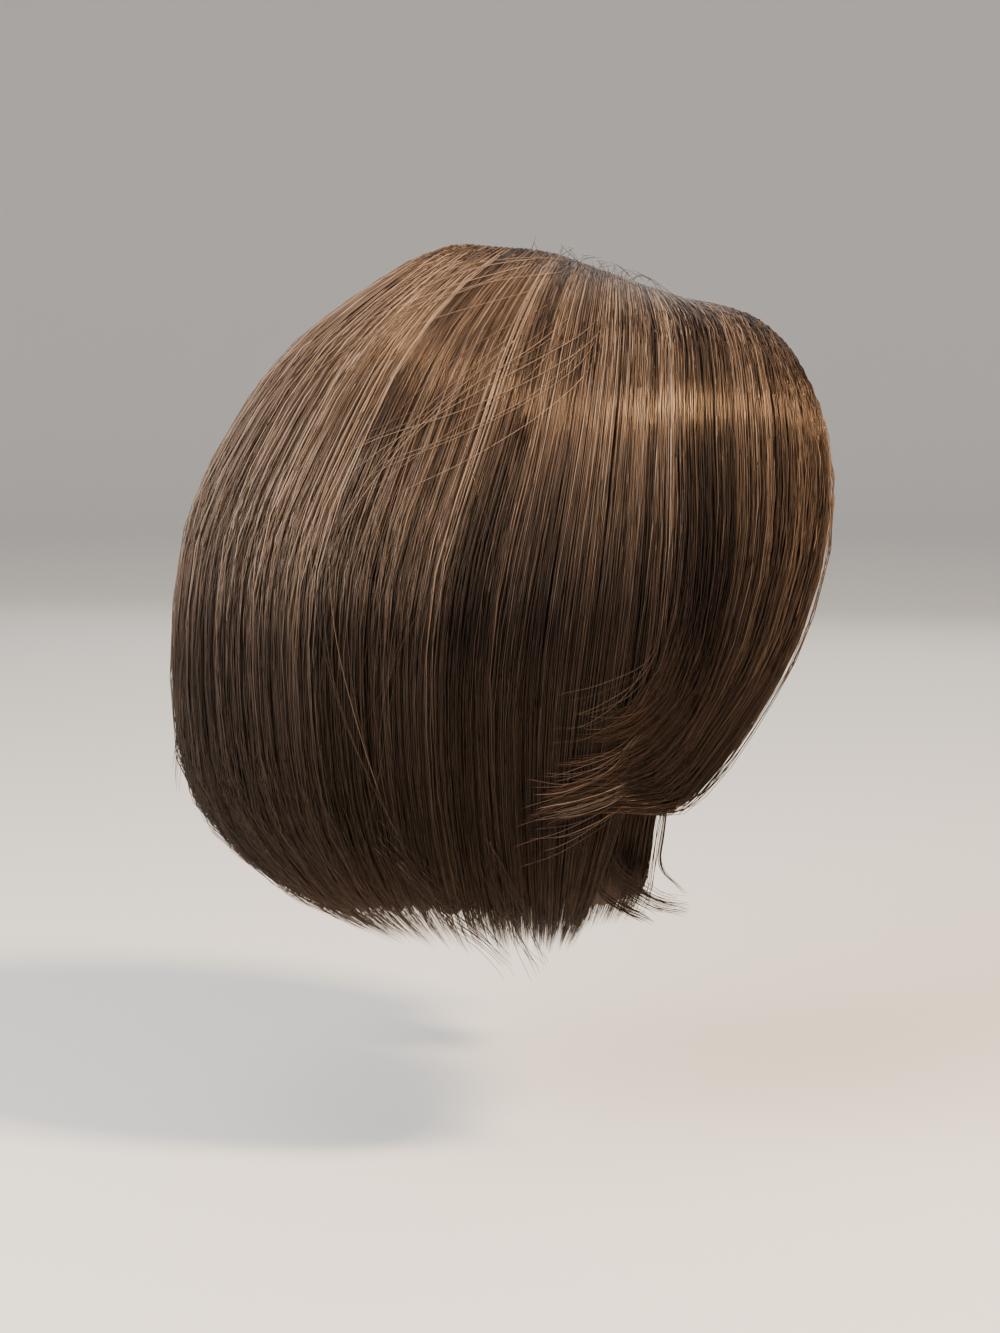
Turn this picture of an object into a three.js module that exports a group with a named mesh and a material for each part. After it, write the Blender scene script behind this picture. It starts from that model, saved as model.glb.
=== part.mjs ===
// A short bob wig, worn, with a parting on the wearer's left and a long fringe swept back on each side.
// The hair is panels of fibre, fused into locks, that are sewn by their roots to an open stretch cap.
// Millimetres and degrees. +Z is up, the face looks along -Y and the wearer's right is -X.
// The origin is the inside of the cap's crown, where the head carries the wig.
import * as THREE from "three";
import { mergeVertices } from "three/addons/utils/BufferGeometryUtils.js";

// The head inside the cap, measured from its centre at ear level.
const HEAD_RISE = 108;
const HEAD_FRONT = 94;
const HEAD_BACK = 96;
const HEAD_HALF_WIDTH = 76;
const CAP_WALL = 1.5;

// How far the hair stands off the cap, and how far it drops below the ears.
const CROWN_VOLUME = 15;
const FRONT_VOLUME = 11.5;
const BACK_VOLUME = 24.5;
const SIDE_VOLUME = 21.5;
const HEM_DROP = 121;

// The parting's two ends, in degrees from straight above the ears, forward and to the wearer's left.
const PARTING = {
  front: { forward: 38, left: 10 },
  crown: { forward: 4, left: 3 },
  halfWidth: 0.8,
};

// Hair and its fit.
const SEAT_GAP = 0.9;
const LAYER_GAP = 2.2;
const HEM_GAP = 3.6;
const ROOT_THICKNESS = 2.6;
const TIP_SHARE = 0.32;
const LOCK_GROOVE = 2.2;
const LOCK_STAGGER = 0.8;
const SWEEP_LIFT = 0.8;
const SWEEP_TIP = 1.9;

const HAIR = {
  rise: HEAD_RISE + CAP_WALL + CROWN_VOLUME,
  drop: HEM_DROP,
  front: HEAD_FRONT + CAP_WALL + FRONT_VOLUME,
  back: HEAD_BACK + CAP_WALL + BACK_VOLUME,
  side: HEAD_HALF_WIDTH + CAP_WALL + SIDE_VOLUME,
  columns: ["hairFront", "hairSide", "hairBack"],
};
const HEAD = {
  rise: HEAD_RISE,
  drop: HEM_DROP,
  front: HEAD_FRONT,
  back: HEAD_BACK,
  side: HEAD_HALF_WIDTH,
  columns: ["headFront", "headSide", "headBack"],
};

// Each form's distance from the centre, as a share of an ellipsoid with the reaches above.
// polar is measured down from straight above; the head's rows below the ears are the jaw and neck.
const OUTLINE = [
  { polar: 0, hairFront: 1.01, hairSide: 1.01, hairBack: 1.01, headFront: 1.0, headSide: 1.0, headBack: 1.0 },
  { polar: 15, hairFront: 0.965, hairSide: 0.985, hairBack: 1.005, headFront: 1.0, headSide: 0.99, headBack: 1.0 },
  { polar: 30, hairFront: 0.985, hairSide: 0.97, hairBack: 0.97, headFront: 1.04, headSide: 1.0, headBack: 1.0 },
  { polar: 45, hairFront: 1.1, hairSide: 0.98, hairBack: 0.965, headFront: 1.1, headSide: 1.02, headBack: 1.01 },
  { polar: 60, hairFront: 1.105, hairSide: 0.985, hairBack: 0.96, headFront: 1.1, headSide: 1.04, headBack: 1.02 },
  { polar: 75, hairFront: 1.05, hairSide: 1.0, hairBack: 0.98, headFront: 1.05, headSide: 1.03, headBack: 1.01 },
  { polar: 90, hairFront: 0.985, hairSide: 1.0, hairBack: 0.995, headFront: 1.0, headSide: 1.0, headBack: 1.0 },
  { polar: 105, hairFront: 0.95, hairSide: 1.015, hairBack: 1.04, headFront: 0.98, headSide: 0.96, headBack: 0.95 },
  { polar: 120, hairFront: 0.97, hairSide: 1.05, hairBack: 1.11, headFront: 0.96, headSide: 0.92, headBack: 0.88 },
  { polar: 135, hairFront: 1.0, hairSide: 1.085, hairBack: 1.095, headFront: 0.94, headSide: 0.9, headBack: 0.84 },
  { polar: 150, hairFront: 1.0, hairSide: 1.1, hairBack: 1.05, headFront: 0.92, headSide: 0.9, headBack: 0.84 },
  { polar: 165, hairFront: 1.0, hairSide: 1.1, hairBack: 1.02, headFront: 0.92, headSide: 0.9, headBack: 0.84 },
];

// The cap's edge: hairline, temple, ear tab, the cut over the ear and the nape.
const CAP_EDGE = [
  { azimuth: 0, polar: 40 },
  { azimuth: 20, polar: 41 },
  { azimuth: 40, polar: 56 },
  { azimuth: 53, polar: 80 },
  { azimuth: 62, polar: 97 },
  { azimuth: 72, polar: 90 },
  { azimuth: 90, polar: 85 },
  { azimuth: 108, polar: 93 },
  { azimuth: 126, polar: 106 },
  { azimuth: 150, polar: 115 },
  { azimuth: 180, polar: 118 },
];
const CAP_COLUMNS = 40;
const CAP_ROWS = 7;

// Levels, in degrees of polar angle, at which a lock's path is given. The jaw is a share of the way from
// the cheek to the tip, and lies lower on a lock that is swept back.
const LEVELS = { brow: 60, eye: 85, cheek: 100 };
const JAW_SHARES = { sweep: 0.85, top: 0.5, under: 0.5, nape: 0.5 };

// Where the lower layers are sewn to the cap, in degrees of polar angle.
const ROOTS = { under: 51, nape: 94 };

// Each layer's inner face as a share of the way from the outline to the cap, reached between two polar angles.
const LAYER_ENDS = {
  top: { share: 0.28, from: 34, to: 56 },
  under: { share: 0.6, from: ROOTS.under, to: 76 },
  nape: { share: 0.86, from: ROOTS.nape, to: 112 },
};

// Bands over which the hair changes: polar angles and azimuths in degrees, along as a share of a lock.
const HEM_THINS = { from: 112, to: 150 };
const GAP_WIDENS = { from: 105, to: 140 };
const ROOTS_RISE = { from: 0, to: 0.1 };
const GROOVES_START = { from: 0, to: 0.12 };
const SWEEP_PASSES = { azimuth: { from: 52, to: 62 }, polar: { from: 78, to: 90 } };
const SWEEP_THINS = { along: { from: 0.55, to: 1 }, share: 0.45 };
const JAW_BARES = { polar: { from: 125, to: 140 }, azimuth: { from: 54, to: 68 }, share: 0.3 };

// Each row is one lock's path: the share of the parting where it grows, its azimuth at the brow, eye,
// cheek and jaw, and the azimuth and polar angle where it ends.
const FRINGE_RIGHT = [
  { part: 0.0, brow: 3, eye: 20, cheek: 32, jaw: 55, end: 90, tip: 122 },
  { part: 0.12, brow: 28, eye: 38, cheek: 46, jaw: 63, end: 89, tip: 117 },
  { part: 0.25, brow: 44, eye: 51, cheek: 57, jaw: 69, end: 88, tip: 113 },
  { part: 0.42, brow: 58, eye: 63, cheek: 67, jaw: 74, end: 85, tip: 109 },
];
const FRINGE_LEFT = [
  { part: 0.0, brow: 27, eye: 35, cheek: 42, jaw: 59, end: 89, tip: 121 },
  { part: 0.13, brow: 41, eye: 48, cheek: 54, jaw: 67, end: 88, tip: 115 },
  { part: 0.42, brow: 58, eye: 63, cheek: 67, jaw: 74, end: 85, tip: 109 },
];
const SIDE = [
  { part: 0.42, brow: 58.8, eye: 63.8, cheek: 66, jaw: 72, end: 75, tip: 146 },
  { part: 0.64, brow: 79, eye: 85, cheek: 87, jaw: 87, end: 85, tip: 147 },
  { part: 0.8, brow: 97, eye: 103, cheek: 104, jaw: 104, end: 103, tip: 147 },
];
const BACK = [
  { part: 0.8, brow: 97.6, eye: 103.6, cheek: 104.6, jaw: 104.6, end: 103.6, tip: 147 },
  { part: 0.97, brow: 132, eye: 136, cheek: 136, jaw: 136, end: 135, tip: 150 },
  { part: 1.0, brow: 180, eye: 180, cheek: 180, jaw: 180, end: 180, tip: 151 },
  { part: 0.97, brow: 228, eye: 224, cheek: 224, jaw: 224, end: 225, tip: 150 },
  { part: 0.8, brow: 262.4, eye: 256.4, cheek: 255.4, jaw: 255.4, end: 256.4, tip: 147 },
];
const UNDER_SIDE = [
  { brow: 42, eye: 47, cheek: 52, jaw: 58, end: 55, tip: 144 },
  { brow: 56, eye: 60, cheek: 64, jaw: 67, end: 65, tip: 147 },
  { brow: 77, eye: 82, cheek: 84, jaw: 84, end: 82, tip: 146 },
  { brow: 98, eye: 102, cheek: 103, jaw: 103, end: 102, tip: 145 },
];
const UNDER_BACK = [
  { brow: 99.5, eye: 103.5, cheek: 104.5, jaw: 104.5, end: 103.5, tip: 145 },
  { brow: 180, eye: 180, cheek: 180, jaw: 180, end: 180, tip: 149 },
  { brow: 260.5, eye: 256.5, cheek: 255.5, jaw: 255.5, end: 256.5, tip: 145 },
];
const NAPE = [
  { brow: 124, eye: 124, cheek: 124, jaw: 124, end: 126, tip: 145 },
  { brow: 180, eye: 180, cheek: 180, jaw: 180, end: 180, tip: 148 },
  { brow: 236, eye: 236, cheek: 236, jaw: 236, end: 234, tip: 145 },
];

// The hair panels. hand is 1 on the wearer's right and -1 on the left; rows are stations along a lock,
// closer together near the root where ease is above 1.
const PANELS = [
  { name: "right_fringe", paths: FRINGE_RIGHT, hand: 1, layer: "sweep", locks: 7, rows: 15, ease: 0.95 },
  { name: "right_side_hair", paths: SIDE, hand: 1, layer: "top", locks: 5, rows: 13, ease: 1.15 },
  { name: "back_hair", paths: BACK, hand: 1, layer: "top", locks: 13, rows: 13, ease: 1.15 },
  { name: "left_side_hair", paths: SIDE, hand: -1, layer: "top", locks: 5, rows: 13, ease: 1.15 },
  { name: "left_fringe", paths: FRINGE_LEFT, hand: -1, layer: "sweep", locks: 6, rows: 15, ease: 0.95 },
  { name: "right_under_hair", paths: UNDER_SIDE, hand: 1, layer: "under", locks: 6, rows: 10, ease: 1 },
  { name: "back_under_hair", paths: UNDER_BACK, hand: 1, layer: "under", locks: 11, rows: 10, ease: 1 },
  { name: "left_under_hair", paths: UNDER_SIDE, hand: -1, layer: "under", locks: 6, rows: 10, ease: 1 },
  { name: "nape_hair", paths: NAPE, hand: 1, layer: "nape", locks: 8, rows: 8, ease: 1 },
];

// Columns across one lock: where they lie, how deep they sink and how much of the length they lose.
const LOCK_SECTION = [
  { across: 0.0, sink: 1.0, short: 0.06 },
  { across: 0.35, sink: 0.0, short: 0.0 },
  { across: 0.72, sink: 0.25, short: 0.015 },
];
const GROOVE_LIMIT = 0.55;

// How five locks in turn stand back and fall short, and the shares of a lock's width by which they wander.
const UNEVEN_LOCKS = [
  { stagger: 0.0, drift: 0.0 },
  { stagger: 0.5, drift: 0.07 },
  { stagger: 1.0, drift: -0.1 },
  { stagger: 0.25, drift: 0.08 },
  { stagger: 0.75, drift: -0.02 },
];
const LOCK_SHORTEST = 0.035;

const HAIR_MATERIAL = new THREE.MeshStandardMaterial({ color: 0x4b3527, roughness: 0.42, metalness: 0 });
const UNDER_MATERIAL = new THREE.MeshStandardMaterial({ color: 0x33231b, roughness: 0.5, metalness: 0 });
const CAP_MATERIAL = new THREE.MeshStandardMaterial({ color: 0x2a211d, roughness: 0.85, metalness: 0 });

const CENTRE = new THREE.Vector3(0, 0, -HEAD_RISE);
const { lerp, smoothstep, degToRad, radToDeg, clamp } = THREE.MathUtils;
const within = (value, band) => smoothstep(value, band.from, band.to);

// A value read from evenly spaced ones along a smooth line, with t from 0 to 1.
function smoothAt(values, t) {
  const last = values.length - 1;
  const at = clamp(t, 0, 1) * last;
  const i = Math.min(Math.floor(at), last - 1);
  const f = at - i;
  const b = values[i];
  const c = values[i + 1];
  const slopeB = i > 0 ? (c - values[i - 1]) / 2 : c - b;
  const slopeC = i + 2 <= last ? (values[i + 2] - b) / 2 : c - b;
  const f2 = f * f;
  const f3 = f2 * f;
  return (2 * f3 - 3 * f2 + 1) * b + (f3 - 2 * f2 + f) * slopeB + (3 * f2 - 2 * f3) * c + (f3 - f2) * slopeC;
}

// A form's share of its ellipsoid in a direction, blended from its front, side and back outlines.
function shareOf(form, azimuth, polar) {
  const t = polar / OUTLINE[OUTLINE.length - 1].polar;
  const [front, side, back] = form.columns.map((name) => smoothAt(OUTLINE.map((row) => row[name]), t));
  const facing = Math.cos(degToRad(azimuth));
  return lerp(side, facing > 0 ? front : back, facing * facing);
}

// The vector from the centre to a form's surface.
function surfaceVector(form, azimuth, polar) {
  const sine = Math.sin(degToRad(polar));
  const cosine = Math.cos(degToRad(polar));
  const facing = Math.cos(degToRad(azimuth));
  return new THREE.Vector3(
    -Math.sin(degToRad(azimuth)) * sine * form.side,
    -facing * sine * (facing > 0 ? form.front : form.back),
    cosine * (cosine > 0 ? form.rise : form.drop),
  ).multiplyScalar(shareOf(form, azimuth, polar));
}

// How far from the centre the outside of the cap lies along a vector.
function capDistance(vector) {
  const n = new THREE.Vector3(
    vector.x / HEAD.side,
    vector.y / (vector.y < 0 ? HEAD.front : HEAD.back),
    vector.z / (vector.z > 0 ? HEAD.rise : HEAD.drop),
  );
  const azimuth = radToDeg(Math.atan2(-n.x, -n.y));
  const polar = radToDeg(Math.acos(n.z / n.length()));
  return (shareOf(HEAD, azimuth, polar) / n.length()) * vector.length() + CAP_WALL;
}

// The depth of hair between the outline and the cap.
function hairRoom(azimuth, polar) {
  const vector = surfaceVector(HAIR, azimuth, polar);
  return vector.length() - capDistance(vector);
}

// The point at a depth below the hair's outline.
function hairPoint(azimuth, polar, depth) {
  const vector = surfaceVector(HAIR, azimuth, polar);
  return vector.setLength(vector.length() - depth).add(CENTRE);
}

// The bodies of hair thin out towards the hem, all together, so that layers stay nested.
function hemTaper(polar) {
  return lerp(1, TIP_SHARE, within(polar, HEM_THINS));
}

// The depth of each layer's inner face, which reaches down to the cap where the layer is sewn on.
function layerEnd(layer, azimuth, polar) {
  const room = hairRoom(azimuth, polar);
  const end = room * lerp(1, LAYER_ENDS[layer].share, within(polar, LAYER_ENDS[layer])) * hemTaper(polar);
  return Math.min(end, room - SEAT_GAP);
}

// The air between two layers, which widens towards the hem.
function layerGap(polar) {
  return lerp(LAYER_GAP, HEM_GAP, within(polar, GAP_WIDENS));
}

// Each layer's outer and inner depth. along runs from 0 at the root to 1 at the tip.
const LAYERS = {
  top(azimuth, polar, along) {
    const inner = layerEnd("top", azimuth, polar);
    const rooted = 1 - within(along, ROOTS_RISE);
    return { outer: Math.max(0, (inner - ROOT_THICKNESS) * rooted), inner };
  },
  sweep(azimuth, polar, along) {
    const { outer, inner } = LAYERS.top(azimuth, polar, along);
    const over = within(Math.abs(azimuth), SWEEP_PASSES.azimuth) * within(polar, SWEEP_PASSES.polar);
    const thin = lerp(1, SWEEP_THINS.share, within(along, SWEEP_THINS.along));
    return {
      outer: lerp(outer, -SWEEP_LIFT - SWEEP_TIP * thin, over),
      inner: lerp(inner * thin, -SWEEP_LIFT, over),
    };
  },
  under(azimuth, polar) {
    const hidden = layerEnd("top", azimuth, polar) + layerGap(polar);
    const bare = within(polar, JAW_BARES.polar) * (1 - within(Math.abs(azimuth), JAW_BARES.azimuth));
    return { outer: hidden * lerp(1, JAW_BARES.share, bare), inner: layerEnd("under", azimuth, polar) };
  },
  nape(azimuth, polar) {
    const outer = layerEnd("under", azimuth, polar) + layerGap(polar);
    return { outer, inner: layerEnd("nape", azimuth, polar) };
  },
};

// A direction on a flat map of the head, with the crown at its centre and degrees as its unit.
function onMap(azimuth, polar) {
  return new THREE.Vector3(polar * Math.cos(degToRad(azimuth)), polar * Math.sin(degToRad(azimuth)), 0);
}

// Where a lock grows: on the parting's edge, or on the row of the cap where its layer is sewn.
function rootOnMap(path, layer) {
  if (ROOTS[layer]) return onMap(path.brow, ROOTS[layer]);
  const { front, crown, halfWidth } = PARTING;
  const root = new THREE.Vector3(
    lerp(front.forward, crown.forward, path.part),
    -lerp(front.left, crown.left, path.part),
    0,
  );
  const away = onMap(path.brow, LEVELS.brow).sub(root).normalize();
  return root.addScaledVector(away, halfWidth);
}

// The line that a lock follows over the map, across of the way from a panel's first path to its last.
function lockPath(panel, across) {
  const path = {};
  for (const name of Object.keys(panel.paths[0])) {
    const turned = ["part", "tip"].includes(name) ? 1 : panel.hand;
    path[name] = smoothAt(panel.paths.map((row) => row[name] * turned), across);
  }
  const stations = [rootOnMap(path, panel.layer)];
  if (panel.layer !== "nape") stations.push(onMap(path.brow, LEVELS.brow), onMap(path.eye, LEVELS.eye));
  const jaw = lerp(LEVELS.cheek, path.tip, JAW_SHARES[panel.layer]);
  stations.push(onMap(path.cheek, LEVELS.cheek), onMap(path.jaw, jaw), onMap(path.end, path.tip));
  return new THREE.CatmullRomCurve3(stations, false, "centripetal");
}

// A closed solid between two grids of points, each an array of columns from root to tip.
function shellBetween(outer, inner, wraps = false) {
  const columns = outer.length;
  const tip = outer[0].length - 1;
  const corners = [];
  const triangle = (a, b, c) => {
    if (!a.equals(b) && !b.equals(c) && !c.equals(a)) corners.push(a, c, b);
  };
  const quad = (a, b, c, d) => {
    triangle(a, b, c);
    triangle(a, c, d);
  };
  for (let i = 0; i < (wraps ? columns : columns - 1); i++) {
    const j = (i + 1) % columns;
    for (let k = 0; k < tip; k++) {
      quad(outer[i][k], outer[i][k + 1], outer[j][k + 1], outer[j][k]);
      quad(inner[i][k], inner[j][k], inner[j][k + 1], inner[i][k + 1]);
    }
    if (!wraps) quad(outer[i][0], outer[j][0], inner[j][0], inner[i][0]);
    quad(outer[i][tip], inner[i][tip], inner[j][tip], outer[j][tip]);
  }
  for (let k = 0; k < tip && !wraps; k++) {
    const end = columns - 1;
    quad(outer[0][k], inner[0][k], inner[0][k + 1], outer[0][k + 1]);
    quad(outer[end][k], outer[end][k + 1], inner[end][k + 1], inner[end][k]);
  }
  const geometry = mergeVertices(new THREE.BufferGeometry().setFromPoints(corners));
  geometry.computeVertexNormals();
  return geometry;
}

// A panel of fused locks: ridges along its outer face, points along its hem and a smooth inner face.
function hairPanel(panel) {
  const outer = [];
  const inner = [];
  for (let lock = 0; lock <= panel.locks; lock++) {
    const isEdge = lock === 0 || lock === panel.locks;
    for (const section of lock < panel.locks ? LOCK_SECTION : [LOCK_SECTION[0]]) {
      const { stagger, drift } = UNEVEN_LOCKS[lock % UNEVEN_LOCKS.length];
      const place = lock + section.across + (isEdge && section.across === 0 ? 0 : drift);
      const curve = lockPath(panel, place / panel.locks);
      const reach = 1 - section.short - (section.sink < 1 ? stagger * LOCK_SHORTEST : 0);
      const outerColumn = [];
      const innerColumn = [];
      for (let k = 0; k < panel.rows; k++) {
        const along = Math.pow(k / (panel.rows - 1), panel.ease) * reach;
        const spot = curve.getPointAt(along);
        const azimuth = radToDeg(Math.atan2(spot.y, spot.x));
        const polar = Math.hypot(spot.x, spot.y);
        const depth = LAYERS[panel.layer](azimuth, polar, along);
        const thickness = depth.inner - depth.outer;
        const groove = Math.min(LOCK_GROOVE * section.sink + LOCK_STAGGER * stagger, thickness * GROOVE_LIMIT);
        const sink = groove * within(along, GROOVES_START);
        outerColumn.push(hairPoint(azimuth, polar, depth.outer + sink));
        innerColumn.push(hairPoint(azimuth, polar, depth.inner));
      }
      outer.push(outerColumn);
      inner.push(innerColumn);
    }
  }
  if (panel.hand < 0) return shellBetween(outer.reverse(), inner.reverse());
  return shellBetween(outer, inner);
}

// The cap's edge at any azimuth, the same on both sides.
function capEdge(azimuth) {
  const turned = Math.abs(azimuth > 180 ? azimuth - 360 : azimuth);
  const i = Math.max(1, CAP_EDGE.findIndex((row) => row.azimuth >= turned));
  const [a, b] = [CAP_EDGE[i - 1], CAP_EDGE[i]];
  return lerp(a.polar, b.polar, smoothstep(turned, a.azimuth, b.azimuth));
}

// The stretch cap: one even wall, open below for the head, with a tab before each ear.
function capShell() {
  const columnsAt = (wall) =>
    Array.from({ length: CAP_COLUMNS }, (_, i) => {
      const azimuth = (360 * i) / CAP_COLUMNS;
      return Array.from({ length: CAP_ROWS + 1 }, (_, k) => {
        const polar = (capEdge(azimuth) * k) / CAP_ROWS;
        const vector = surfaceVector(HEAD, azimuth, polar);
        return vector.setLength(vector.length() + wall).add(CENTRE);
      });
    });
  return shellBetween(columnsAt(CAP_WALL), columnsAt(0), true);
}

const wig = new THREE.Group();
const cap = new THREE.Mesh(capShell(), CAP_MATERIAL);
cap.name = "cap";
wig.add(cap);

const topHair = new THREE.Group();
const underHair = new THREE.Group();
wig.add(topHair, underHair);
for (const panel of PANELS) {
  const isUnder = Boolean(ROOTS[panel.layer]);
  const mesh = new THREE.Mesh(hairPanel(panel), isUnder ? UNDER_MATERIAL : HAIR_MATERIAL);
  mesh.name = panel.name;
  (isUnder ? underHair : topHair).add(mesh);
}

export default wig;
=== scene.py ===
import math

import bmesh
import bpy
import numpy as np
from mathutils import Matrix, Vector


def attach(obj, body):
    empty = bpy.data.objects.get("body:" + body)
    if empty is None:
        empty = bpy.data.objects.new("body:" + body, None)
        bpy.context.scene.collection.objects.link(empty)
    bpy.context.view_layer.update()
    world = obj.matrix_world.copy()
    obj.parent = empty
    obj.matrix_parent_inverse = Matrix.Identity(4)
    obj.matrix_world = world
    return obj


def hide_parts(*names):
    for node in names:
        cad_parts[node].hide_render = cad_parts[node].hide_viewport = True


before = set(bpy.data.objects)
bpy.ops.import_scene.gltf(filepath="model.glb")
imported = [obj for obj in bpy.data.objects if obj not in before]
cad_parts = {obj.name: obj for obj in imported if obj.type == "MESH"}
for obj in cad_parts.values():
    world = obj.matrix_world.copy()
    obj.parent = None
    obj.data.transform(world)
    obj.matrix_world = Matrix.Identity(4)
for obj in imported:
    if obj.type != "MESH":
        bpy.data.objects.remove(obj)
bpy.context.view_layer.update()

# The cap: a dome of dark stretch net, open below, with a tab before each ear.
# The hair comes as long wefts, stitched to the net in level rows that show inside as fine ridges.
# Its edge is turned over and stitched down, which makes it thicker there.
CENTRE = np.array([0.0, 0.0, -0.108])
LAST_LEVEL = 165
# What the cap fits over: reaches from the centre, and shares of them every 15 degrees down.
HEAD = {
    "rise": 0.108, "drop": 0.121, "front": 0.094, "back": 0.096, "side": 0.076,
    "front_shares": (1.0, 1.0, 1.04, 1.1, 1.1, 1.05, 1.0, 0.98, 0.96, 0.94, 0.92, 0.92),
    "side_shares": (1.0, 0.99, 1.0, 1.02, 1.04, 1.03, 1.0, 0.96, 0.92, 0.9, 0.9, 0.9),
    "back_shares": (1.0, 1.0, 1.0, 1.01, 1.02, 1.01, 1.0, 0.95, 0.88, 0.84, 0.84, 0.84),
}
NET_THICKNESS = 0.0015
NET_EDGE = (
    (0, 40), (20, 41), (40, 56), (53, 80), (62, 97), (72, 90),
    (90, 85), (108, 93), (126, 106), (150, 115), (180, 118),
)
NET_COLUMNS = 96
NET_ROWS = 48
WEFT_EVERY = 4
FIRST_WEFT = 46
WEFT_RIDGE = 0.0006
EDGE_ROWS = 2
EDGE_ROLL = 0.0009
EDGE_ROLL_OUTSIDE = 0.3
SAME_POINT = 1e-6


def eased(value, low, high):
    share = np.clip((value - low) / (high - low), 0, 1)
    return share * share * (3 - 2 * share)


def smooth_at(rows, share):
    """Rows of numbers, evenly spaced from 0 to 1, read along a smooth line."""
    rows = np.asarray(rows, float)
    last = len(rows) - 1
    place = np.clip(np.asarray(share, float), 0, 1) * last
    row = np.minimum(place.astype(int), last - 1)
    part = place - row
    is_first = row == 0
    is_last = row + 2 > last
    if rows.ndim > 1:
        part = part[..., None]
        is_first = is_first[..., None]
        is_last = is_last[..., None]
    start = rows[row]
    end = rows[row + 1]
    start_slope = np.where(is_first, end - start, (end - rows[np.maximum(row - 1, 0)]) / 2)
    end_slope = np.where(is_last, end - start, (rows[np.minimum(row + 2, last)] - start) / 2)
    square = part * part
    cube = square * part
    return (
        (2 * cube - 3 * square + 1) * start
        + (cube - 2 * square + part) * start_slope
        + (3 * square - 2 * cube) * end
        + (cube - square) * end_slope
    )


def share_of(form, azimuth, polar):
    facing = np.cos(np.radians(azimuth))
    level = polar / LAST_LEVEL
    side = smooth_at(form["side_shares"], level)
    front = smooth_at(form["front_shares"], level)
    back = smooth_at(form["back_shares"], level)
    return side + (np.where(facing > 0, front, back) - side) * facing * facing


def form_vector(form, azimuth, polar):
    """From the centre to a form's surface. Azimuth 0 is the face, 90 the wearer's right."""
    turn = np.radians(azimuth)
    tilt = np.radians(polar)
    facing = np.cos(turn)
    reach = np.where(facing > 0, form["front"], form["back"])
    height = np.where(np.cos(tilt) > 0, form["rise"], form["drop"])
    vector = np.stack(
        [
            -np.sin(turn) * np.sin(tilt) * form["side"],
            -facing * np.sin(tilt) * reach,
            np.cos(tilt) * height,
        ],
        axis=-1,
    )
    return vector * share_of(form, azimuth, polar)[..., None]


def at_depth(form, azimuth, polar, depth):
    """A place that far below a form's surface, in the object's own frame."""
    vector = form_vector(form, azimuth, polar)
    length = np.linalg.norm(vector, axis=-1, keepdims=True)
    return CENTRE + vector * (1 - np.asarray(depth)[..., None] / length)


def closed_sheet(outer, inner, wraps=False):
    """The points and faces of a closed sheet between two grids of places, column by column."""
    columns, rows = outer.shape[:2]
    points = np.concatenate([outer.reshape(-1, 3), inner.reshape(-1, 3)])
    under = columns * rows
    spans = columns if wraps else columns - 1
    i, k = np.meshgrid(np.arange(spans), np.arange(rows - 1), indexing="ij")
    j = (i + 1) % columns
    here = i * rows + k
    there = j * rows + k
    faces = [
        np.stack([here, there, there + 1, here + 1], -1).reshape(-1, 4),
        np.stack([here, here + 1, there + 1, there], -1).reshape(-1, 4) + under,
    ]
    for row in (0, rows - 1):
        a = np.arange(spans) * rows + row
        b = (np.arange(spans) + 1) % columns * rows + row
        rim = np.stack([a, a + under, b + under, b], -1)
        faces.append(rim if row == 0 else rim[:, ::-1])
    if not wraps:
        for column in (0, columns - 1):
            a = column * rows + np.arange(rows - 1)
            side = np.stack([a, a + 1, a + 1 + under, a + under], -1)
            faces.append(side if column == 0 else side[:, ::-1])
    return points, np.concatenate(faces)


def net_edge(azimuth):
    turned = np.abs((azimuth + 180) % 360 - 180)
    corners = np.array(NET_EDGE, float)
    at = np.clip(np.searchsorted(corners[:, 0], turned), 1, len(corners) - 1)
    start = corners[at - 1]
    end = corners[at]
    return start[:, 1] + (end[:, 1] - start[:, 1]) * eased(turned, start[:, 0], end[:, 0])


azimuth = np.linspace(0, 360, NET_COLUMNS, endpoint=False)[:, None] + np.zeros(NET_ROWS + 1)
row = np.arange(NET_ROWS + 1)[None, :] + np.zeros((NET_COLUMNS, 1))
polar = net_edge(azimuth[:, 0])[:, None] * row / NET_ROWS
ridge = np.where((row % WEFT_EVERY == 0) & (polar > FIRST_WEFT), WEFT_RIDGE, 0)
roll = np.where(row > NET_ROWS - EDGE_ROWS, EDGE_ROLL, 0)
points, faces = closed_sheet(
    at_depth(HEAD, azimuth, polar, -NET_THICKNESS - roll * EDGE_ROLL_OUTSIDE),
    at_depth(HEAD, azimuth, polar, ridge + roll),
    wraps=True,
)
cap_mesh = bpy.data.meshes.new("cap_net")
cap_mesh.from_pydata(points.tolist(), [], faces.tolist())
# The sheet's columns meet at the crown, in one point on each face.
crown = bmesh.new()
crown.from_mesh(cap_mesh)
bmesh.ops.remove_doubles(crown, verts=crown.verts, dist=SAME_POINT)
bmesh.ops.delete(crown, geom=[edge for edge in crown.edges if edge.is_wire], context="EDGES")
crown.to_mesh(cap_mesh)
crown.free()
cap_mesh.polygons.foreach_set("use_smooth", np.ones(len(cap_mesh.polygons), bool))
cap = bpy.data.objects.new("cap_net", cap_mesh)
bpy.context.collection.objects.link(cap)

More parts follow.
